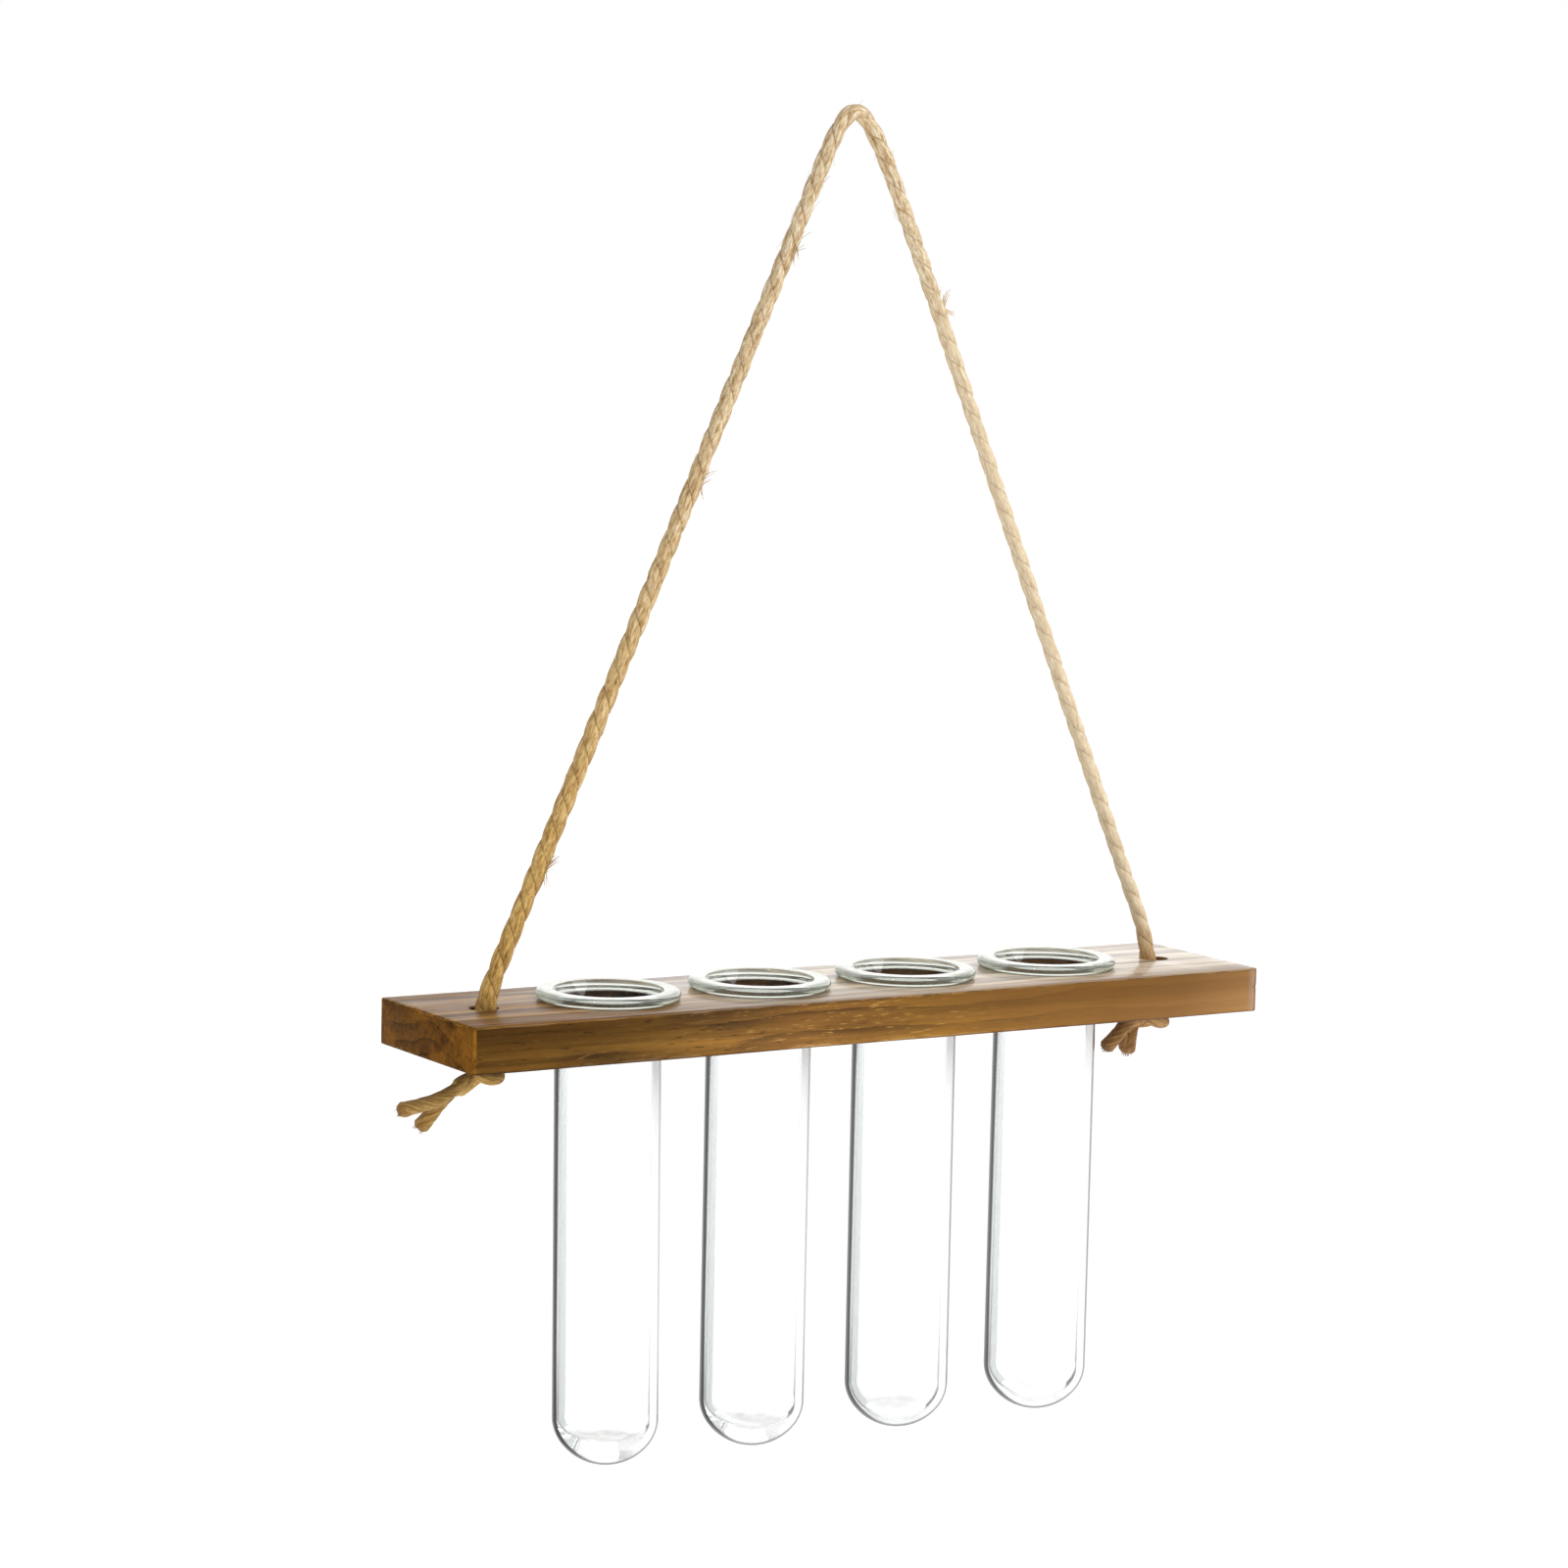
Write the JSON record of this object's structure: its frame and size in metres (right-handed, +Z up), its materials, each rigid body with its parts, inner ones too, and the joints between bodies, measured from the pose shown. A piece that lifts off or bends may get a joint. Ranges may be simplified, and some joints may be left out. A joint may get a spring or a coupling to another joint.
{
  "type": "hanging test tube vase",
  "caption": "Hanging test tube vase: a drilled wooden bar on a knotted jute rope sling holds lift-out round-bottomed glass tubes for cut stems.",
  "frame": {"origin": "axis of the hook that the rope sling hangs on, at the middle of the rope's bend", "axes": "+X along the wooden bar, +Y to the back, +Z up; the front faces -Y"},
  "size_m": [0.2702, 0.055, 0.3805],
  "materials": {
    "stained_wood": "brown stain under satin lacquer",
    "clear_glass": "clear, blown, fire-polished lip",
    "jute_rope": "matte twisted jute"
  },
  "bodies": {
    "rope_sling": {"rope_loop": "jute_rope"},
    "bar": {"wooden_bar": "stained_wood", "left_rope_shank": "jute_rope", "left_knot": "jute_rope", "left_loose_plies": "jute_rope", "right_rope_shank": "jute_rope", "right_knot": "jute_rope", "right_loose_plies": "jute_rope"},
    "tube_1": {"test_tube_1": "clear_glass"},
    "tube_2": {"test_tube_2": "clear_glass"},
    "tube_3": {"test_tube_3": "clear_glass"},
    "tube_4": {"test_tube_4": "clear_glass"}
  },
  "joints": [
    {"name": "bar_swing", "type": "hinge", "parent": "rope_sling", "child": "bar", "pos_m": [0, 0, -0.2392], "axis": [1, 0, 0], "range_deg": [-75, 75]},
    {"name": "tube_1_lift", "type": "slide", "parent": "bar", "child": "tube_1", "axis": [0, 0, 1], "range_m": [0, 0.028]},
    {"name": "tube_2_lift", "type": "slide", "parent": "bar", "child": "tube_2", "axis": [0, 0, 1], "range_m": [0, 0.135]},
    {"name": "tube_3_lift", "type": "slide", "parent": "bar", "child": "tube_3", "axis": [0, 0, 1], "range_m": [0, 0.135]},
    {"name": "tube_4_lift", "type": "slide", "parent": "bar", "child": "tube_4", "axis": [0, 0, 1], "range_m": [0, 0.028]}
  ]
}
